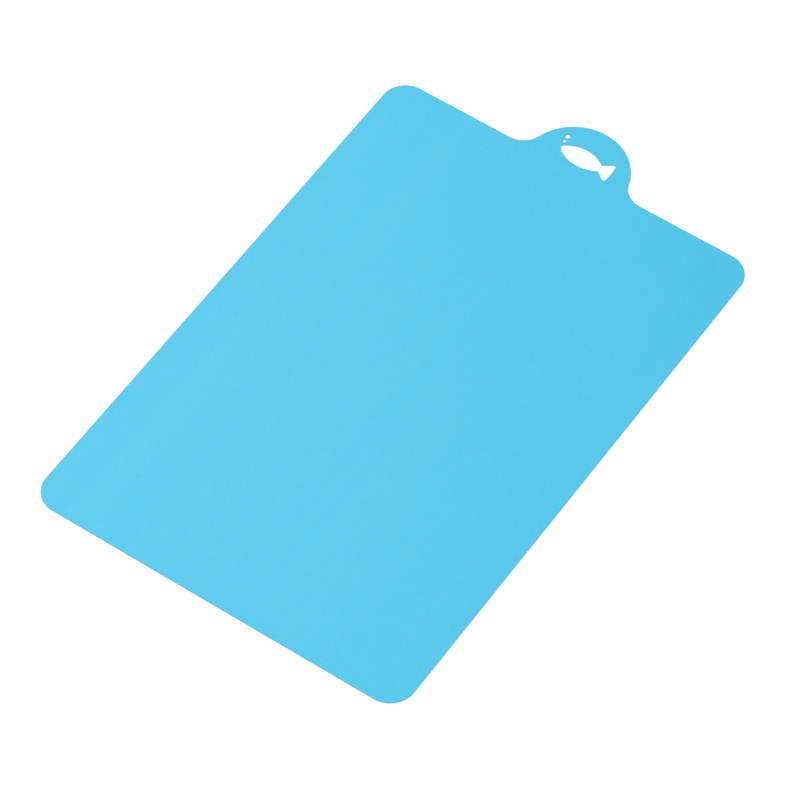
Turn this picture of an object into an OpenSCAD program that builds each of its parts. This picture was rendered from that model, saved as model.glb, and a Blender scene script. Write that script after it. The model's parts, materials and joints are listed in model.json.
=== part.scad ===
/* [Sheet] */
// Width of the mat across its short side
mat_w = 250; // [230:1:280]
// Length from the plain end to the top of the hanging tab
mat_l = 400; // [360:1:460]
// Thickness of the sheet
sheet_t = 0.5; // [0.4:0.1:1]
// Radius of the two corners at the plain end
foot_corner_r = 16; // [8:0.5:24]
// Radius of the two corners at the tab end
head_corner_r = 15.5; // [8:0.5:24]

/* [Hanging tab] */
// Radius of the round tab
tab_r = 33; // [32:0.5:35]
// Height of the tab's centre above the mat's top edge
tab_rise = 0.5; // [0:0.5:3]
// Radius of the two hollows where the tab runs into the top edge
tab_hollow_r = 15; // [12:0.5:16]

/* [Fish hole] */
// Height of the fish's middle line above the mat's top edge
fish_rise = 10.4; // [9.5:0.1:11.5]
// Reach of the nose tip to the left of the mat's long axis
nose_reach = 17; // [15:0.1:17.5]
// Height of the nose tip above the middle line
nose_lift = 1.5; // [0.5:0.1:2.5]
// Length of the slanting cut that blunts the nose
nose_cut_l = 3.5; // [2:0.1:4]
// Slant of that cut from upright, in degrees
nose_slant = 32; // [20:1:40]
// Reach of the waist, where the tail begins, to the right of the axis
waist_reach = 11.1; // [9:0.1:12]
// Lean of the waist, its top to the left of its foot
waist_lean = 0.7; // [0:0.1:1.5]
// Depth of the waist
waist_h = 4.9; // [4:0.1:7]
// Reach of the tail's lobes to the right of the axis
tail_reach = 18.4; // [17.5:0.1:19]
// Height of the tail between the corners of its lobes
tail_h = 15.5; // [12:0.1:16]
// Bulge of the back above the line from nose to waist
back_bulge = 5.1; // [4:0.1:6]
// Bulge of the belly below the line from nose to waist
belly_bulge = 4.1; // [3:0.1:5]
// Bulge of the tail's rear edge
tail_bulge = 0.6; // [0.2:0.1:1]
// Rounding of the tail's lobes
lobe_r = 1.4; // [0.6:0.1:1.5]
// Rounding of the waist's corners
waist_r = 0.6; // [0.4:0.1:1]

/* [Bubble holes] */
// Diameter of the large bubble
big_bubble_d = 3; // [2.4:0.1:3.6]
// Diameter of the small bubble
small_bubble_d = 2.3; // [1.6:0.1:2.8]
// Height of the large bubble's centre above the nose tip
big_bubble_up = 7.7; // [7.5:0.1:8.5]
// Height of the small bubble's centre above the nose tip
small_bubble_up = 3.9; // [3.6:0.1:4.1]
// How far each bubble stands to the left of the one below, the small one from the nose tip
bubble_step = 0.2; // [0:0.1:0.6]

/* [Bending] */
// Width of the middle panel, which holds the tab's middle and all the holes
centre_w = 54; // [52:1:60]
// Number of bending strips on each side of that panel
strips_per_side = 7; // [5:1:10]

/* [Hidden] */
mat_colour = "#5ccbed";
$fn = 96;

// The mat lies flat, tab towards +Y, with the origin under the middle of its outline
foot_y = -mat_l / 2;
tab_y = mat_l / 2 - tab_r;
head_y = tab_y - tab_rise;
strip_w = (mat_w - centre_w) / 2 / strips_per_side;
// Gap between neighbouring bands, wide enough for each joint to bend by 21 degrees
strip_gap = sheet_t / 4;

// Centre of the right-hand hollow, which touches both the top edge and the round tab
hollow_lift = tab_hollow_r - tab_rise;
hollow_x = sqrt(pow(tab_r + tab_hollow_r, 2) - pow(hollow_lift, 2));
// Where that hollow meets the round tab
meet = [hollow_x, hollow_lift] * tab_r / (tab_r + tab_hollow_r);
// How far the tab's neck reaches down into the sheet
neck_depth = 5;

// Corners of the fish, from the middle of the mat's top edge
nose_top = [-nose_reach, fish_rise + nose_lift];
nose_foot = nose_top + nose_cut_l * [sin(nose_slant), -cos(nose_slant)];
waist_foot = [waist_reach + waist_lean / 2, fish_rise - waist_h / 2];
waist_top = [waist_reach - waist_lean / 2, fish_rise + waist_h / 2];
lobe_foot = [tail_reach, fish_rise - tail_h / 2];
lobe_top = [tail_reach, fish_rise + tail_h / 2];
tail_rear = [tail_reach + tail_bulge, fish_rise];
// The rounding of the rear edge takes up this share of each of its halves
rear_share = 0.4;
tail_rear_r = rear_share * norm(tail_rear - lobe_foot) * tail_h / 2 / tail_bulge;

// Centres of the two bubbles, which rise from the nose
big_bubble = nose_top + [-2 * bubble_step, big_bubble_up];
small_bubble = nose_top + [-bubble_step, small_bubble_up];

arc_steps = 24;
corner_steps = 6;

// Unit vector from p to q
function toward(p, q) = (q - p) / norm(q - p);

// Points of an arc from p to q that bulges to the right of that line, without p itself
function arc(p, q, bulge) =
    let (
        half = norm(q - p) / 2,
        r = (half * half + bulge * bulge) / (2 * bulge),
        along = toward(p, q),
        out = [along[1], -along[0]],
        centre = (p + q) / 2 + out * (bulge - r),
        sweep = 2 * asin(half / r)
    )
    [for (i = [1:arc_steps])
        let (a = sweep * (i / arc_steps - 0.5))
        centre + r * (along * sin(a) + out * cos(a))];

// Points that round the corner b between a and c
function round_corner(a, b, c, r) =
    let (
        u = toward(b, a),
        v = toward(b, c),
        half = acos(u * v) / 2,
        centre = b + toward([0, 0], u + v) * r / sin(half),
        start = b + u * r / tan(half) - centre,
        way = sign(u[1] * v[0] - u[0] * v[1]),
        turn = way * (180 - 2 * half)
    )
    [for (i = [0:corner_steps])
        let (t = turn * i / corner_steps)
        centre + [start[0] * cos(t) - start[1] * sin(t), start[0] * sin(t) + start[1] * cos(t)]];

// The fish, round from the foot of its nose by belly, tail and back
function fish_points() =
    let (
        belly = arc(nose_foot, waist_foot, belly_bulge),
        back = arc(waist_top, nose_top, back_bulge)
    )
    concat(
        [nose_foot],
        [for (i = [0:arc_steps - 2]) belly[i]],
        round_corner(belly[arc_steps - 2], waist_foot, lobe_foot, waist_r),
        round_corner(waist_foot, lobe_foot, tail_rear, lobe_r),
        round_corner(lobe_foot, tail_rear, lobe_top, tail_rear_r),
        round_corner(tail_rear, lobe_top, waist_top, lobe_r),
        round_corner(lobe_top, waist_top, back[0], waist_r),
        back
    );

// The rectangle with its four rounded corners
module body_outline() {
    x = mat_w / 2;
    f = foot_corner_r;
    h = head_corner_r;
    polygon([
        [-x + f, foot_y],
        [x - f, foot_y],
        [x, foot_y + f],
        [x, head_y - h],
        [x - h, head_y],
        [-x + h, head_y],
        [-x, head_y - h],
        [-x, foot_y + f]
    ]);
    for (side = [-1, 1]) {
        translate([side * (x - f), foot_y + f]) circle(r = f);
        translate([side * (x - h), head_y - h]) circle(r = h);
    }
}

// The round tab and the hollowed neck that joins it to the top edge
module tab_outline() {
    translate([0, tab_y]) {
        circle(r = tab_r);
        difference() {
            polygon([
                [-hollow_x, -tab_rise - neck_depth],
                [hollow_x, -tab_rise - neck_depth],
                [hollow_x, -tab_rise],
                meet,
                [-meet[0], meet[1]],
                [-hollow_x, -tab_rise]
            ]);
            for (side = [-1, 1]) {
                translate([side * hollow_x, hollow_lift]) circle(r = tab_hollow_r);
            }
        }
    }
}

// The holes for hanging the mat up: a fish and the bubbles that rise from it
module holes() {
    translate([0, head_y]) {
        polygon(fish_points());
        translate(big_bubble) circle(d = big_bubble_d);
        translate(small_bubble) circle(d = small_bubble_d);
    }
}

// The part of the sheet between two lines along its length
module band(x_from, x_to) {
    linear_extrude(height = sheet_t) intersection() {
        union() {
            body_outline();
            tab_outline();
        }
        translate([x_from, foot_y]) square([x_to - x_from, mat_l]);
    }
}

// The middle panel, whose fish hole hangs the mat on a hook
module centre_panel() {
    color(mat_colour) difference() {
        band((strip_gap - centre_w) / 2, (centre_w - strip_gap) / 2);
        translate([0, 0, -sheet_t / 2]) linear_extrude(height = 2 * sheet_t) holes();
    }
}

// Strip i to the right of the middle panel, with 1 beside the panel
module right_strip(i) {
    x_from = centre_w / 2 + (i - 1) * strip_w + strip_gap / 2;
    x_to = centre_w / 2 + i * strip_w - (i < strips_per_side ? strip_gap / 2 : 0);
    color(mat_colour) band(x_from, x_to);
}

// Strip i to the left of the middle panel
module left_strip(i) {
    mirror([1, 0, 0]) right_strip(i);
}

centre_panel();
for (i = [1:strips_per_side]) {
    left_strip(i);
    right_strip(i);
}
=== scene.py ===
import json
import math

import bmesh
import bpy
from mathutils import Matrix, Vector


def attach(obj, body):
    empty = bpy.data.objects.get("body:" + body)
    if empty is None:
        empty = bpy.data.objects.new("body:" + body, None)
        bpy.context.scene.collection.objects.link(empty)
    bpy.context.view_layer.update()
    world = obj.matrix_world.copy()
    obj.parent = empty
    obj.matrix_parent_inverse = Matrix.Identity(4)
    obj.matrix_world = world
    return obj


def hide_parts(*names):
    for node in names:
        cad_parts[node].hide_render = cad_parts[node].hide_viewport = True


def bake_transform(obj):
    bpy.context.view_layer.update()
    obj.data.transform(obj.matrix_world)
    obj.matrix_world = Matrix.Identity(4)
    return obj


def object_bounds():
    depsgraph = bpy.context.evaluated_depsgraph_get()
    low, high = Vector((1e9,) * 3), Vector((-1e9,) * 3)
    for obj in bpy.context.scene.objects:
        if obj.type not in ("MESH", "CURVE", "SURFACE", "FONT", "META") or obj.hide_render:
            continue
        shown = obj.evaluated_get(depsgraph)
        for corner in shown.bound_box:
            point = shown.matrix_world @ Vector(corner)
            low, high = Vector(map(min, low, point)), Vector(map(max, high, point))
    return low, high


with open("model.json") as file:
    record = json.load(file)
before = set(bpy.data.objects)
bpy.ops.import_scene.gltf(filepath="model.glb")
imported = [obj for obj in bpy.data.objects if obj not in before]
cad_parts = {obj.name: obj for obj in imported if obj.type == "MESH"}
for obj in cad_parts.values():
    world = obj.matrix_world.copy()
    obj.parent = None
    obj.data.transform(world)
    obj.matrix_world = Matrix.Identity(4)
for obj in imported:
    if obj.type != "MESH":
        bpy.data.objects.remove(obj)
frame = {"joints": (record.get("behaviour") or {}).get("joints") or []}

CAD_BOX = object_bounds()
MM = 0.001


def in_mm(metres):
    """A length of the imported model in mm, rounded to hundredths, since packing moves it by a micron."""
    return round(metres / MM, 2)


# Sizes of the sheet, in mm
MAT_W, MAT_L, SHEET_T = [in_mm(high - low) for low, high in zip(*CAD_BOX)]
FOOT_CORNER_R = 16.0
HEAD_CORNER_R = 15.5
TAB_R = 33.0
TAB_RISE = 0.5
TAB_HOLLOW_R = 15.0
FOOT_Y = -MAT_L / 2
TAB_Y = MAT_L / 2 - TAB_R
HEAD_Y = TAB_Y - TAB_RISE
HOLLOW_LIFT = TAB_HOLLOW_R - TAB_RISE
HOLLOW_X = math.sqrt((TAB_R + TAB_HOLLOW_R) ** 2 - HOLLOW_LIFT ** 2)
HOLLOW_Y = TAB_Y + HOLLOW_LIFT
NECK_TURN = math.atan2(HOLLOW_LIFT, HOLLOW_X)
FOOT_CORNER_X = MAT_W / 2 - FOOT_CORNER_R
HEAD_CORNER_X = MAT_W / 2 - HEAD_CORNER_R

# Sizes of the fish hole, in mm
FISH_RISE = 10.4
NOSE_REACH = 17.0
NOSE_LIFT = 1.5
NOSE_CUT_L = 3.5
NOSE_SLANT = math.radians(32)
WAIST_REACH = 11.1
WAIST_LEAN = 0.7
WAIST_H = 4.9
TAIL_REACH = 18.4
TAIL_H = 15.5
BACK_BULGE = 5.1
BELLY_BULGE = 4.1
TAIL_BULGE = 0.6
NOSE_R = 0.3
LOBE_R = 1.4
WAIST_R = 0.6
# The rounding of the tail's rear edge takes up this share of each of its halves
REAR_SHARE = 0.4
TAIL_REAR_R = REAR_SHARE * math.hypot(TAIL_BULGE, TAIL_H / 2) * TAIL_H / 2 / TAIL_BULGE

# Sizes of the bubble holes, in mm
BIG_BUBBLE_D = 3.0
SMALL_BUBBLE_D = 2.3
BIG_BUBBLE_UP = 7.7
SMALL_BUBBLE_UP = 3.9
BUBBLE_STEP = 0.2

# The lines that the joints fold the sheet over, in mm to each side of the middle
FOLD_LINES = sorted({in_mm(abs(joint["pos_m"][0])) for joint in frame["joints"]})
STRIP_W = FOLD_LINES[1] - FOLD_LINES[0]
HALF_STRIP = STRIP_W / 2
# Cut lines run halfway between the folds, so that each band bends over one fold
CENTRE_HALF_W = FOLD_LINES[0] - HALF_STRIP
EDGE_BAND_X = FOLD_LINES[-1] + HALF_STRIP

# Columns of points across a bend, from one cut line to the other, with the fold in the middle
CUT_MARGIN = 0.4
INNER_PLACES = [HALF_STRIP * quarter / 4 for quarter in range(-3, 4)]
BEND_PLACES = [-HALF_STRIP, CUT_MARGIN - HALF_STRIP, *INNER_PLACES, HALF_STRIP - CUT_MARGIN, HALF_STRIP]

# Rows of points along the mat, in mm
FIRST_ROW_Y = -168.0
ROW_GAP = 28.0
ROW_COUNT = 12
ROWS = [FIRST_ROW_Y + ROW_GAP * i for i in range(ROW_COUNT)]

# How finely the outline's arcs are drawn: steps per arc, or degrees per step
CORNER_STEPS = 14
CORNER_DEGREES = 5
TAB_DEGREES = 3
HOLLOW_DEGREES = 6
FISH_ARC_STEPS = 48
FISH_CORNER_STEPS = 10
NOSE_STEPS = 4
BUBBLE_STEPS = 48
# Points of an arc that lie nearer to a column of points than this are left out
LEAST_GAP = 0.35

# The die presses the upper edge round and leaves the lower one nearly sharp
UPPER_EDGE_R = 0.15
LOWER_EDGE_R = 0.08
UPPER_EDGE_STEPS = 4
LOWER_EDGE_STEPS = 2

# Places of the two finishes in each mesh
SHEET_FACE = 0
CUT_EDGE = 1


def edge_profile():
    """Inset and height of each ring round the edge, from the upper face to the lower."""
    rings = []
    for i in range(UPPER_EDGE_STEPS + 1):
        turn = math.pi / 2 * i / UPPER_EDGE_STEPS
        inset = UPPER_EDGE_R * (1 - math.sin(turn))
        rings.append((inset, SHEET_T - UPPER_EDGE_R * (1 - math.cos(turn))))
    for i in range(LOWER_EDGE_STEPS + 1):
        turn = math.pi / 2 * i / LOWER_EDGE_STEPS
        inset = LOWER_EDGE_R * (1 - math.cos(turn))
        rings.append((inset, LOWER_EDGE_R * (1 - math.sin(turn))))
    return rings


PROFILE = edge_profile()
# The first ring borders the upper face, and the last one the lower face
UPPER_RING = 0
LOWER_RING = -1


# Outline of the sheet, drawn in from its edge by an inset
def head_y(x, inset):
    """Height of the upper outline at x: round tab, hollow, top edge, corner."""
    x = abs(x)
    if x <= (TAB_R - inset) * math.cos(NECK_TURN):
        return TAB_Y + math.sqrt((TAB_R - inset) ** 2 - x ** 2)
    if x <= HOLLOW_X:
        r = TAB_HOLLOW_R + inset
        return HOLLOW_Y - math.sqrt(r ** 2 - (HOLLOW_X - x) ** 2)
    if x <= HEAD_CORNER_X:
        return HEAD_Y - inset
    r = HEAD_CORNER_R - inset
    return HEAD_Y - HEAD_CORNER_R + math.sqrt(max(r ** 2 - (x - HEAD_CORNER_X) ** 2, 0.0))


def foot_y(x, inset):
    """Height of the lower outline at x: plain end and its corner."""
    x = abs(x)
    if x <= FOOT_CORNER_X:
        return FOOT_Y + inset
    r = FOOT_CORNER_R - inset
    return FOOT_Y + FOOT_CORNER_R - math.sqrt(max(r ** 2 - (x - FOOT_CORNER_X) ** 2, 0.0))


def turn_steps(first, last, step):
    """Angles from first to last degrees, in even steps of at most step degrees."""
    count = max(1, math.ceil(abs(last - first) / step))
    return [math.radians(first + (last - first) * i / count) for i in range(count + 1)]


def head_places():
    """Places along the upper outline, right of the middle, close enough for smooth arcs."""
    neck = math.degrees(NECK_TURN)
    tab = [TAB_R * math.cos(a) for a in turn_steps(90, neck, TAB_DEGREES)]
    hollow = [HOLLOW_X + TAB_HOLLOW_R * math.cos(a) for a in turn_steps(180 + neck, 270, HOLLOW_DEGREES)]
    corner = [HEAD_CORNER_X + HEAD_CORNER_R * math.cos(a) for a in turn_steps(90, 0, CORNER_DEGREES)]
    return tab + hollow + corner


def foot_places():
    """Places along the lower outline, right of the middle."""
    return [FOOT_CORNER_X + FOOT_CORNER_R * math.cos(a) for a in turn_steps(90, 0, CORNER_DEGREES)]


def between(places, x_from, x_to):
    """x_from, the places well inside, then x_to."""
    inner = sorted({round(p, 6) for p in places if x_from + LEAST_GAP < p < x_to - LEAST_GAP})
    return [x_from] + inner + [x_to]


# Outline of the fish, in mm from the middle of the top edge
def toward(p, q):
    """Unit vector from p to q."""
    return (q - p).normalized()


def arc(p, q, bulge):
    """Points of an arc from p to q that bulges to the right of that line, without p itself."""
    half = (q - p).length / 2
    r = (half * half + bulge * bulge) / (2 * bulge)
    along = toward(p, q)
    out = Vector((along.y, -along.x))
    centre = (p + q) / 2 + out * (bulge - r)
    sweep = 2 * math.asin(half / r)
    points = []
    for i in range(1, FISH_ARC_STEPS + 1):
        a = sweep * (i / FISH_ARC_STEPS - 0.5)
        points.append(centre + r * (along * math.sin(a) + out * math.cos(a)))
    return points


def round_corner(before, corner, after, r, steps=FISH_CORNER_STEPS):
    """Points that round a corner between the point before it and the one after it."""
    back = toward(corner, before)
    on = toward(corner, after)
    half = math.acos(back.dot(on)) / 2
    centre = corner + (back + on).normalized() * r / math.sin(half)
    start = corner + back * r / math.tan(half) - centre
    way = 1 if back.y * on.x - back.x * on.y > 0 else -1
    turn = way * (math.pi - 2 * half)
    points = []
    for i in range(steps + 1):
        t = turn * i / steps
        x = start.x * math.cos(t) - start.y * math.sin(t)
        y = start.x * math.sin(t) + start.y * math.cos(t)
        points.append(centre + Vector((x, y)))
    return points


TOP_EDGE = Vector((0, HEAD_Y))
NOSE_TOP = Vector((-NOSE_REACH, FISH_RISE + NOSE_LIFT))
NOSE_FOOT = NOSE_TOP + NOSE_CUT_L * Vector((math.sin(NOSE_SLANT), -math.cos(NOSE_SLANT)))


def fish_points():
    """The fish, round from its nose by belly, tail and back."""
    waist_foot = Vector((WAIST_REACH + WAIST_LEAN / 2, FISH_RISE - WAIST_H / 2))
    waist_top = Vector((WAIST_REACH - WAIST_LEAN / 2, FISH_RISE + WAIST_H / 2))
    lobe_foot = Vector((TAIL_REACH, FISH_RISE - TAIL_H / 2))
    lobe_top = Vector((TAIL_REACH, FISH_RISE + TAIL_H / 2))
    tail_rear = Vector((TAIL_REACH + TAIL_BULGE, FISH_RISE))
    belly = arc(NOSE_FOOT, waist_foot, BELLY_BULGE)
    back = arc(waist_top, NOSE_TOP, BACK_BULGE)
    points = round_corner(NOSE_TOP, NOSE_FOOT, belly[0], NOSE_R, NOSE_STEPS)
    points += belly[:-2]
    points += round_corner(belly[-3], waist_foot, lobe_foot, WAIST_R)
    points += round_corner(waist_foot, lobe_foot, tail_rear, LOBE_R)
    points += round_corner(lobe_foot, tail_rear, lobe_top, TAIL_REAR_R)
    points += round_corner(tail_rear, lobe_top, waist_top, LOBE_R)
    points += round_corner(lobe_top, waist_top, back[0], WAIST_R)
    points += back[1:-1]
    points += round_corner(back[-2], NOSE_TOP, NOSE_FOOT, NOSE_R, NOSE_STEPS)
    return [p + TOP_EDGE for p in points]


def bubble_points(steps_left, rise, diameter):
    """A round hole above the nose, some steps to its left."""
    centre = NOSE_TOP + Vector((-steps_left * BUBBLE_STEP, rise)) + TOP_EDGE
    points = []
    for i in range(BUBBLE_STEPS):
        a = 2 * math.pi * i / BUBBLE_STEPS
        points.append(centre + Vector((math.cos(a), math.sin(a))) * diameter / 2)
    return points


def drawn_out(points, reach):
    """The closed, counter-clockwise outline moved outward by reach."""
    moved = []
    for i, p in enumerate(points):
        before = toward(points[i - 1], p)
        after = toward(p, points[(i + 1) % len(points)])
        out_before = Vector((before.y, -before.x))
        out_after = Vector((after.y, -after.x))
        moved.append(p + (out_before + out_after) * reach / (1 + out_before.dot(out_after)))
    return moved


class Band:
    """A band of the sheet between two lines along its length, as a closed mesh."""

    def __init__(self):
        self.bm = bmesh.new()

    def vert(self, x, y, z):
        """Adds the point at x, y, z mm."""
        return self.bm.verts.new((x * MM, y * MM, z * MM))

    def columns(self, xs, z):
        """Adds a column of points along the mat at each x, at height z."""
        return [[self.vert(x, y, z) for y in ROWS] for x in xs]

    def rings(self, outline_y, xs):
        """Adds the points of the edge at each x, one ring for each step of the edge profile."""
        return [[self.vert(x, outline_y(x, inset), z) for x in xs] for inset, z in PROFILE]

    def face(self, verts, finish=SHEET_FACE):
        """Adds a face, shaded smooth."""
        made = self.bm.faces.new(verts)
        made.smooth = True
        made.material_index = finish
        return made

    def sharpen(self, points):
        """Shades the faces on each side of the line of points apart."""
        for a, b in zip(points, points[1:]):
            self.bm.edges.get((a, b)).smooth = False

    def edge_strip(self, rings, closed=False):
        """Faces of the cut edge, between rings of matching points."""
        count = len(rings[0])
        spans = range(count if closed else count - 1)
        for upper, lower in zip(rings, rings[1:]):
            for i in spans:
                j = (i + 1) % count
                self.face([upper[i], upper[j], lower[j], lower[i]], CUT_EDGE)
        for ring in (rings[UPPER_RING], rings[LOWER_RING]):
            self.sharpen(ring + ring[:1] if closed else ring)

    def between_rows(self, left, right):
        """Faces of the sheet between two columns of points."""
        for i in range(len(ROWS) - 1):
            self.face([left[i], right[i], right[i + 1], left[i + 1]])

    def cap(self, upper, lower, head_rings, foot_rings, end):
        """Closes the band at one of its cut lines. end is 0 or -1, the end of each ring."""
        head = [ring[end] for ring in head_rings]
        foot = [ring[end] for ring in foot_rings]
        for i in range(len(upper) - 1):
            self.face([upper[i], upper[i + 1], lower[i + 1], lower[i]])
        self.face([upper[-1]] + head + [lower[-1]])
        self.face([upper[0]] + foot + [lower[0]])
        self.sharpen(upper + head + lower[::-1] + foot[::-1] + upper[:1])

    def finish(self, name, mirrored):
        """Makes the piece from the band. The left of the mat is its right, mirrored."""
        bmesh.ops.recalc_face_normals(self.bm, faces=self.bm.faces)
        if mirrored:
            for v in self.bm.verts:
                v.co.x = -v.co.x
            bmesh.ops.reverse_faces(self.bm, faces=self.bm.faces)
        mesh = bpy.data.meshes.new(name)
        self.bm.to_mesh(mesh)
        self.bm.free()
        mesh.materials.append(SHEET_FINISH)
        mesh.materials.append(CUT_FINISH)
        # Patterns follow the sheet's own places, so that they stay put when it bends
        place = mesh.attributes.new("sheet_place", "FLOAT_VECTOR", "POINT")
        for v in mesh.vertices:
            place.data[v.index].vector = v.co
        piece = bpy.data.objects.new(name, mesh)
        bpy.context.scene.collection.objects.link(piece)
        return piece


def bend_band(name, line_x, mirrored):
    """The band over the fold line at line_x, with a cut line along each of its sides."""
    band = Band()
    xs = [line_x + place for place in BEND_PLACES]
    uppers = band.columns(xs, SHEET_T)
    lowers = band.columns(xs, 0.0)
    head_xs = [xs[0]]
    foot_xs = [xs[0]]
    for a, b in zip(xs, xs[1:]):
        head_xs += between(head_places(), a, b)[1:]
        foot_xs += between(foot_places(), a, b)[1:]
    head = band.rings(head_y, head_xs)
    foot = band.rings(foot_y, foot_xs)
    band.edge_strip(head)
    band.edge_strip(foot)
    for ring, grid in ((UPPER_RING, uppers), (LOWER_RING, lowers)):
        for k, (left, right) in enumerate(zip(grid, grid[1:])):
            band.between_rows(left, right)
            head_run = head[ring][head_xs.index(xs[k]):head_xs.index(xs[k + 1]) + 1]
            foot_run = foot[ring][foot_xs.index(xs[k]):foot_xs.index(xs[k + 1]) + 1]
            band.face([left[-1], right[-1]] + head_run[::-1])
            band.face([right[0], left[0]] + foot_run)
    band.cap(uppers[0], lowers[0], head, foot, end=0)
    band.cap(uppers[-1], lowers[-1], head, foot, end=-1)
    bend = band.finish(name, mirrored)
    # Where each point lies in the bend: share of the way over, place along it, height over its middle
    way = -1 if mirrored else 1
    place = bend.data.attributes.new("bend_place", "FLOAT_VECTOR", "POINT")
    for v in bend.data.vertices:
        share = (way * v.co.x / MM - xs[0]) / (xs[-1] - xs[0])
        place.data[v.index].vector = (share, v.co.y, way * (v.co.z - SHEET_T * MM / 2))
    return bend


def side_places(inset):
    """The edge round the mat's long side, from the foot's cut to the head's, drawn in by inset."""
    foot_r = FOOT_CORNER_R - inset
    head_r = HEAD_CORNER_R - inset
    foot_turn = math.acos((EDGE_BAND_X - FOOT_CORNER_X) / foot_r)
    head_turn = math.acos((EDGE_BAND_X - HEAD_CORNER_X) / head_r)
    foot_corner_y = FOOT_Y + FOOT_CORNER_R
    head_corner_y = HEAD_Y - HEAD_CORNER_R
    side_x = MAT_W / 2 - inset
    places = []
    for i in range(CORNER_STEPS):
        a = foot_turn * (1 - i / CORNER_STEPS)
        places.append((FOOT_CORNER_X + foot_r * math.cos(a), foot_corner_y - foot_r * math.sin(a)))
    places += [(side_x, y) for y in (foot_corner_y, *ROWS, head_corner_y)]
    for i in range(1, CORNER_STEPS + 1):
        a = head_turn * i / CORNER_STEPS
        places.append((HEAD_CORNER_X + head_r * math.cos(a), head_corner_y + head_r * math.sin(a)))
    return places


def end_band(name, mirrored):
    """The band along the mat's long side, from the last cut line to the rounded corners."""
    band = Band()
    upper = band.columns([EDGE_BAND_X], SHEET_T)[0]
    lower = band.columns([EDGE_BAND_X], 0.0)[0]
    rings = [[band.vert(x, y, z) for x, y in side_places(inset)] for inset, z in PROFILE]
    band.edge_strip(rings)
    first_row = CORNER_STEPS + 1
    last_row = first_row + len(ROWS) - 1
    for ring, column in ((rings[UPPER_RING], upper), (rings[LOWER_RING], lower)):
        for i in range(len(ROWS) - 1):
            side = ring[first_row + i:first_row + i + 2]
            band.face([column[i], side[0], side[1], column[i + 1]])
        band.face([column[-1]] + ring[last_row:])
        band.face([column[0]] + ring[:first_row + 1])
    band.cap(upper, lower, [ring[::-1] for ring in rings], rings, end=0)
    return band.finish(name, mirrored)


def fill_round_holes(band, outer, hole_rings):
    """Fills the tab's face between its outer loop of points and the rings of the holes."""
    edges = set()
    for loop in [outer] + hole_rings:
        for a, b in zip(loop, loop[1:] + loop[:1]):
            edges.add(band.bm.edges.get((a, b)) or band.bm.edges.new((a, b)))
    filled = bmesh.ops.triangle_fill(band.bm, edges=list(edges), use_beauty=True, normal=(0, 0, 1))
    for f in filled["geom"]:
        if isinstance(f, bmesh.types.BMFace):
            f.smooth = True
            f.material_index = SHEET_FACE


def centre_band(name):
    """The middle of the mat, with the tab, the fish hole and the bubble holes."""
    xs = [-CENTRE_HALF_W, 0.0, CENTRE_HALF_W]
    band = Band()
    uppers = band.columns(xs, SHEET_T)
    lowers = band.columns(xs, 0.0)
    right_xs = between(head_places(), 0.0, CENTRE_HALF_W)
    head_xs = [-x for x in right_xs[::-1]] + right_xs[1:]
    head = band.rings(head_y, head_xs)
    foot = band.rings(foot_y, xs)
    band.edge_strip(head)
    band.edge_strip(foot)
    big_bubble = bubble_points(steps_left=2, rise=BIG_BUBBLE_UP, diameter=BIG_BUBBLE_D)
    small_bubble = bubble_points(steps_left=1, rise=SMALL_BUBBLE_UP, diameter=SMALL_BUBBLE_D)
    holes = []
    for outline in (fish_points(), big_bubble, small_bubble):
        rings = [[band.vert(p.x, p.y, z) for p in drawn_out(outline, inset)] for inset, z in PROFILE]
        band.edge_strip(rings, closed=True)
        holes.append(rings)
    for ring, grid in ((UPPER_RING, uppers), (LOWER_RING, lowers)):
        for k, (left, right) in enumerate(zip(grid, grid[1:])):
            band.between_rows(left, right)
            band.face([right[0], left[0], foot[ring][k], foot[ring][k + 1]])
        outer = [column[-1] for column in grid] + head[ring][::-1]
        fill_round_holes(band, outer, [rings[ring] for rings in holes])
    band.cap(uppers[0], lowers[0], head, foot, end=0)
    band.cap(uppers[-1], lowers[-1], head, foot, end=-1)
    return band.finish(name, False)


# Materials
def linear(hex_colour):
    """An sRGB hex colour as linear red, green, blue and alpha."""
    channels = []
    for i in (1, 3, 5):
        c = int(hex_colour[i:i + 2], 16) / 255
        channels.append(c / 12.92 if c <= 0.04045 else ((c + 0.055) / 1.055) ** 2.4)
    return (*channels, 1.0)


def node(tree, kind, settings=None, links=None, values=None):
    """Adds a node, sets its properties and input values, and links its inputs.
    An input is known by its place, or by its name among those that the settings leave in use."""
    made = tree.nodes.new(kind)
    for key, value in (settings or {}).items():
        setattr(made, key, value)
    used = {socket.name: socket for socket in made.inputs if socket.enabled}
    for key, value in (values or {}).items():
        socket = used[key] if key in used else made.inputs[key]
        socket.default_value = value
    for key, source in (links or {}).items():
        tree.links.new(source, used[key] if key in used else made.inputs[key])
    return made


def new_material(name):
    """A material with an empty node tree, and that tree."""
    material = bpy.data.materials.new(name)
    material.use_nodes = True
    material.node_tree.nodes.clear()
    return material, material.node_tree


def per_size(size):
    """Scale of a noise pattern whose marks are size mm wide."""
    return 1 / (size * MM)


# Pure white, as linear red, green, blue and alpha
WHITE = (1.0, 1.0, 1.0, 1.0)
# Refractive index of polypropylene
POLYPROPYLENE_IOR = 1.49
# Sizes of the marks in and on the plastic, in mm
FLECK_W = 1.5
GRAIN_W = 0.9
LINE_GAP = 6.0
DRAG_MARK_GAP = 0.5
MARK_DEPTH = 0.05
# How far the lines and the drag marks are drawn out, as scales of the pattern
ALONG_THE_MAT = (1.0, 0.02, 1.0)
UP_THE_EDGE = (1.0, 1.0, 0.15)


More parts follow.
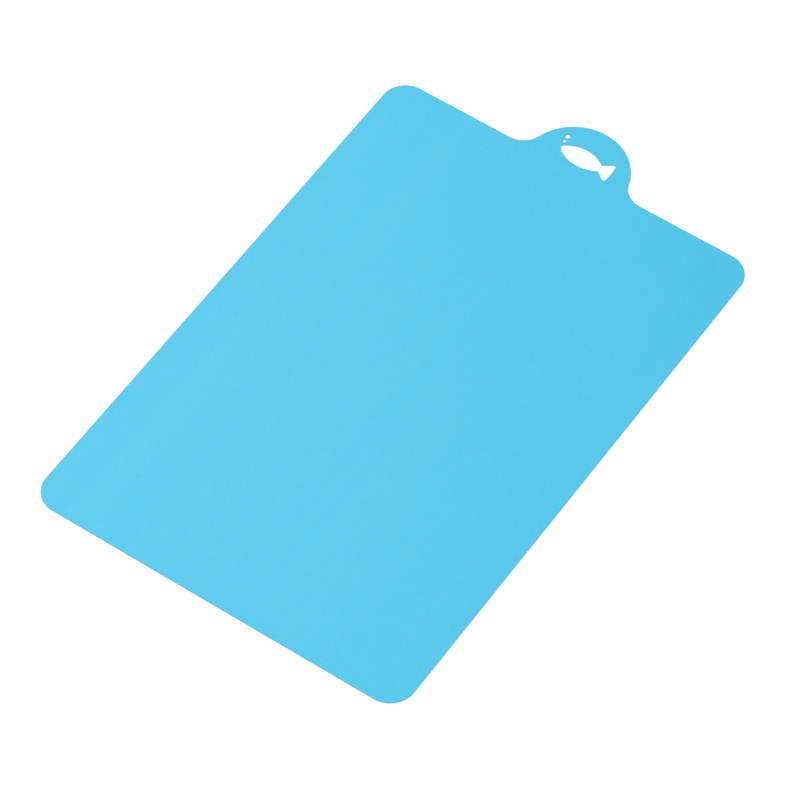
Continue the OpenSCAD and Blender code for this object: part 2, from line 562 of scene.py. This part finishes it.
def matt_rolled_polypropylene():
    """Opaque polypropylene sheet, extruded and pressed between matt rollers.
    The rollers leave a fine even grain, so highlights spread into a soft, satin glow."""
    material, tree = new_material("matt rolled polypropylene")
    place = node(tree, "ShaderNodeAttribute", {"attribute_name": "sheet_place"})
    # Pigment that is a shade uneven, in flecks about 1.5 mm across
    flecks = node(tree, "ShaderNodeTexNoise", {"noise_dimensions": "3D"},
                  {"Vector": place.outputs["Vector"]},
                  {"Scale": per_size(FLECK_W), "Detail": 2.0, "Roughness": 0.5})
    tint = node(tree, "ShaderNodeValToRGB", None, {"Fac": flecks.outputs["Fac"]})
    darker, lighter = tint.color_ramp.elements
    darker.position = 0.35
    darker.color = linear("#35c0e5")
    lighter.position = 0.65
    lighter.color = linear("#39c4e9")
    # The roller grain is 0.2 mm in truth. It is drawn 0.9 mm wide, or no pixel would show it
    grain = node(tree, "ShaderNodeTexNoise", {"noise_dimensions": "3D"},
                 {"Vector": place.outputs["Vector"]},
                 {"Scale": per_size(GRAIN_W), "Detail": 2.0, "Roughness": 0.6})
    dents = node(tree, "ShaderNodeBump", None, {"Height": grain.outputs["Fac"]},
                 {"Strength": 0.1, "Distance": MARK_DEPTH * MM})
    # Faint lines along the length, 6 mm apart, where the sheet left the extruder's lips
    stretched = node(tree, "ShaderNodeMapping", None, {"Vector": place.outputs["Vector"]},
                     {"Scale": ALONG_THE_MAT})
    lines = node(tree, "ShaderNodeTexNoise", {"noise_dimensions": "3D"},
                 {"Vector": stretched.outputs["Vector"]},
                 {"Scale": per_size(LINE_GAP), "Detail": 1.0, "Roughness": 0.5})
    sheen = node(tree, "ShaderNodeMapRange", None, {"Value": lines.outputs["Fac"]},
                 {"From Min": 0.3, "From Max": 0.7, "To Min": 0.35, "To Max": 0.38})
    shader = node(tree, "ShaderNodeBsdfPrincipled", None,
                  {"Base Color": tint.outputs["Color"], "Roughness": sheen.outputs["Result"],
                   "Normal": dents.outputs["Normal"]},
                  {"IOR": POLYPROPYLENE_IOR, "Metallic": 0.0})
    node(tree, "ShaderNodeOutputMaterial", None, {"Surface": shader.outputs["BSDF"]})
    return material


def die_cut_polypropylene():
    """The edge where the die sheared the same sheet.
    The blade leaves fine upright drag marks and a duller face. Its colour is painted darker and deeper
    than the sheet's face, as painted shade for the cut edge."""
    material, tree = new_material("die-cut polypropylene")
    place = node(tree, "ShaderNodeAttribute", {"attribute_name": "sheet_place"})
    # Drag marks run up the edge. They are drawn 0.5 mm apart, four times their real spacing
    upright = node(tree, "ShaderNodeMapping", None, {"Vector": place.outputs["Vector"]},
                   {"Scale": UP_THE_EDGE})
    drag = node(tree, "ShaderNodeTexNoise", {"noise_dimensions": "3D"},
                {"Vector": upright.outputs["Vector"]},
                {"Scale": per_size(DRAG_MARK_GAP), "Detail": 2.0, "Roughness": 0.6})
    # Both ramp colours are painted darker than the face's, as painted shade for the cut edge, and the drag
    # marks vary the tone at random between them
    tint = node(tree, "ShaderNodeValToRGB", None, {"Fac": drag.outputs["Fac"]})
    darker, lighter = tint.color_ramp.elements
    darker.position = 0.3
    darker.color = linear("#37a9cf")
    lighter.position = 0.7
    lighter.color = linear("#3fb2d8")
    marks = node(tree, "ShaderNodeBump", None, {"Height": drag.outputs["Fac"]},
                 {"Strength": 0.2, "Distance": MARK_DEPTH * MM})
    shader = node(tree, "ShaderNodeBsdfPrincipled", None,
                  {"Base Color": tint.outputs["Color"], "Normal": marks.outputs["Normal"]},
                  {"IOR": POLYPROPYLENE_IOR, "Metallic": 0.0, "Roughness": 0.55})
    node(tree, "ShaderNodeOutputMaterial", None, {"Surface": shader.outputs["BSDF"]})
    return material


SHEET_FINISH = matt_rolled_polypropylene()
CUT_FINISH = die_cut_polypropylene()

# Place of a Mix node's output where it mixes vectors
VECTOR_RESULT = 1
# The way that the folds run
FOLD_WAY = (0.0, 1.0, 0.0)


def even_curve():
    """Geometry nodes that lay a folded band along an even arc.
    Its two cut lines stay where they lie, and the arc runs out straight into both."""
    tree = bpy.data.node_groups.new("even curve", "GeometryNodeTree")
    tree.interface.new_socket("Band", in_out="INPUT", socket_type="NodeSocketGeometry")
    tree.interface.new_socket("Band", in_out="OUTPUT", socket_type="NodeSocketGeometry")
    folded = node(tree, "NodeGroupInput").outputs["Band"]
    position = node(tree, "GeometryNodeInputPosition").outputs["Position"]
    place = node(tree, "GeometryNodeInputNamedAttribute", {"data_type": "FLOAT_VECTOR"}, None,
                 {"Name": "bend_place"})
    in_bend = node(tree, "ShaderNodeSeparateXYZ", None, {"Vector": place.outputs["Attribute"]})
    share = in_bend.outputs["X"]
    # Middle of the thickness at the first cut line, at the fold and at the last cut line
    marks = []
    for column in (0, len(BEND_PLACES) // 2, len(BEND_PLACES) - 1):
        upper = node(tree, "GeometryNodeSampleIndex", {"data_type": "FLOAT_VECTOR"},
                     {"Geometry": folded, "Value": position}, {"Index": column * len(ROWS)})
        lower = node(tree, "GeometryNodeSampleIndex", {"data_type": "FLOAT_VECTOR"},
                     {"Geometry": folded, "Value": position},
                     {"Index": (column + len(BEND_PLACES)) * len(ROWS)})
        middle = node(tree, "ShaderNodeMix", {"data_type": "VECTOR"},
                      {"A": upper.outputs["Value"], "B": lower.outputs["Value"]}, {"Factor": 0.5})
        marks.append(middle.outputs[VECTOR_RESULT])
    # The arc is a parabola that touches both flanks of the fold
    before = node(tree, "ShaderNodeMix", {"data_type": "VECTOR"},
                  {"Factor": share, "A": marks[0], "B": marks[1]})
    after = node(tree, "ShaderNodeMix", {"data_type": "VECTOR"},
                 {"Factor": share, "A": marks[1], "B": marks[2]})
    on_arc = node(tree, "ShaderNodeMix", {"data_type": "VECTOR"},
                  {"Factor": share, "A": before.outputs[VECTOR_RESULT], "B": after.outputs[VECTOR_RESULT]})
    run = node(tree, "ShaderNodeVectorMath", {"operation": "SUBTRACT"},
               {0: after.outputs[VECTOR_RESULT], 1: before.outputs[VECTOR_RESULT]})
    square = node(tree, "ShaderNodeVectorMath", {"operation": "CROSS_PRODUCT"},
                  {0: run.outputs["Vector"]}, {1: FOLD_WAY})
    up = node(tree, "ShaderNodeVectorMath", {"operation": "NORMALIZE"}, {0: square.outputs["Vector"]})
    lift = node(tree, "ShaderNodeVectorMath", {"operation": "SCALE"},
                {"Vector": up.outputs["Vector"], "Scale": in_bend.outputs["Z"]})
    lifted = node(tree, "ShaderNodeVectorMath", {"operation": "ADD"},
                  {0: on_arc.outputs[VECTOR_RESULT], 1: lift.outputs["Vector"]})
    parts = node(tree, "ShaderNodeSeparateXYZ", None, {"Vector": lifted.outputs["Vector"]})
    moved = node(tree, "ShaderNodeCombineXYZ", None,
                 {"X": parts.outputs["X"], "Y": in_bend.outputs["Y"], "Z": parts.outputs["Z"]})
    curved = node(tree, "GeometryNodeSetPosition", None,
                  {"Geometry": folded, "Position": moved.outputs["Vector"]})
    node(tree, "NodeGroupOutput", None, {"Band": curved.outputs["Geometry"]})
    return tree


EVEN_CURVE = even_curve()


def make_mat():
    """The middle of the mat, then each side: a row of bends and the band along the long edge."""
    centre = centre_band("mat_centre")
    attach(centre, "centre_panel")
    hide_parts("centre_panel")
    for side, mirrored in (("left", True), ("right", False)):
        # The frame gives the joints of a side in order, from the middle outward
        joints = [joint for joint in frame["joints"] if joint["name"].startswith(side)]
        inner_body = "centre_panel"
        for joint in joints:
            body = joint["child"]
            line_x = in_mm(abs(joint["pos_m"][0]))
            bend = bend_band(f"mat_{joint['name']}", line_x, mirrored)
            bend.modifiers.new("even curve", "NODES").node_group = EVEN_CURVE
            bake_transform(bend)
            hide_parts(body)
            inner_body = body
        edge = end_band(f"mat_{side}_edge", mirrored)
        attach(edge, inner_body)


# Sizes of the floor, in metres
FLOOR_DROP = 0.0003
FLOOR_HALF = 6.0
# The floor is plain paper near the mat and runs out into pure white further off
PAPER_R = 0.5
WHITE_R = 1.6
PAPER_GLOW = 0.31
WHITE_GLOW = 0.8

# Strength of the white surroundings as light, and as the camera sees them
SURROUND_LIGHT = 0.57
SURROUND_SEEN = 1.0


def seen_only(tree):
    """1 for what the camera sees, itself or in a gloss or glass, and 0 for what only gives light."""
    path = node(tree, "ShaderNodeLightPath")
    plain_or_gloss = node(tree, "ShaderNodeMath", {"operation": "MAXIMUM"},
                          {0: path.outputs["Is Camera Ray"], 1: path.outputs["Is Glossy Ray"]})
    seen = node(tree, "ShaderNodeMath", {"operation": "MAXIMUM"},
                {0: plain_or_gloss.outputs["Value"], 1: path.outputs["Is Transmission Ray"]})
    return seen.outputs["Value"]


def white_studio_paper():
    """White paper floor, which keeps the mat's shadow."""
    material, tree = new_material("white studio paper")
    spot = node(tree, "ShaderNodeTexCoord")
    far = node(tree, "ShaderNodeVectorMath", {"operation": "LENGTH"}, {0: spot.outputs["Object"]})
    glow = node(tree, "ShaderNodeMapRange", {"interpolation_type": "SMOOTHSTEP"},
                {"Value": far.outputs["Value"]},
                {"From Min": PAPER_R, "From Max": WHITE_R, "To Min": PAPER_GLOW, "To Max": WHITE_GLOW})
    shown = node(tree, "ShaderNodeMath", {"operation": "MULTIPLY"},
                 {0: seen_only(tree), 1: glow.outputs["Result"]})
    paper = node(tree, "ShaderNodeBsdfDiffuse", None, None, {"Color": linear("#f2f2f2")})
    lift = node(tree, "ShaderNodeEmission", None, {"Strength": shown.outputs["Value"]}, {"Color": WHITE})
    both = node(tree, "ShaderNodeAddShader", None, {0: paper.outputs["BSDF"], 1: lift.outputs["Emission"]})
    node(tree, "ShaderNodeOutputMaterial", None, {"Surface": both.outputs["Shader"]})
    return material


def lay_floor():
    """A square of paper just under the mat."""
    mesh = bpy.data.meshes.new("floor")
    corners = [(-1, -1), (1, -1), (1, 1), (-1, 1)]
    mesh.from_pydata([(x * FLOOR_HALF, y * FLOOR_HALF, -FLOOR_DROP) for x, y in corners], [], [range(4)])
    mesh.materials.append(white_studio_paper())
    floor = bpy.data.objects.new("floor", mesh)
    bpy.context.scene.collection.objects.link(floor)


def set_surroundings():
    """White surroundings, plain for the camera and dimmer as light."""
    world = bpy.data.worlds.new("studio")
    world.use_nodes = True
    tree = world.node_tree
    tree.nodes.clear()
    strength = node(tree, "ShaderNodeMapRange", None, {"Value": seen_only(tree)},
                    {"To Min": SURROUND_LIGHT, "To Max": SURROUND_SEEN})
    surround = node(tree, "ShaderNodeBackground", None, {"Strength": strength.outputs["Result"]},
                    {"Color": WHITE})
    node(tree, "ShaderNodeOutputWorld", None, {"Surface": surround.outputs["Background"]})
    bpy.context.scene.world = world


def soft_lamp(name, place, size, power):
    """A square soft lamp that points at the middle of the mat."""
    data = bpy.data.lights.new(name, "AREA")
    data.shape = "SQUARE"
    data.size = size
    data.energy = power
    lamp = bpy.data.objects.new(name, data)
    lamp.location = place
    lamp.rotation_euler = (-Vector(place)).to_track_quat("-Z", "Y").to_euler()
    bpy.context.scene.collection.objects.link(lamp)


# The camera at the photograph's place and angle: lens in mm, place in metres, turn in degrees
SENSOR_W = 36.0
LENS = 222.084
CAMERA_PLACE = (0.912705, -1.369496, 2.289493)
CAMERA_TURN = (35.25691, -0.28282, 34.36661)


def set_camera():
    """The camera of the photograph's view."""
    data = bpy.data.cameras.new("camera")
    data.sensor_width = SENSOR_W
    data.lens = LENS
    camera = bpy.data.objects.new("camera", data)
    camera.location = CAMERA_PLACE
    camera.rotation_euler = [math.radians(angle) for angle in CAMERA_TURN]
    bpy.context.scene.collection.objects.link(camera)
    bpy.context.scene.camera = camera


make_mat()
lay_floor()
set_surroundings()

# Three soft lamps, in metres and watts. The back lamp lays a soft sheen on the mat that fades
# towards its right-hand corner
soft_lamp("back lamp", place=(-1.0, 0.88, 2.0), size=1.2, power=10.5)
soft_lamp("front lamp", place=(-1.3, -0.9, 1.9), size=1.4, power=16.0)
soft_lamp("fill lamp", place=(1.2, -0.9, 1.5), size=1.6, power=6.0)

set_camera()
bpy.context.scene.view_settings.view_transform = "Standard"
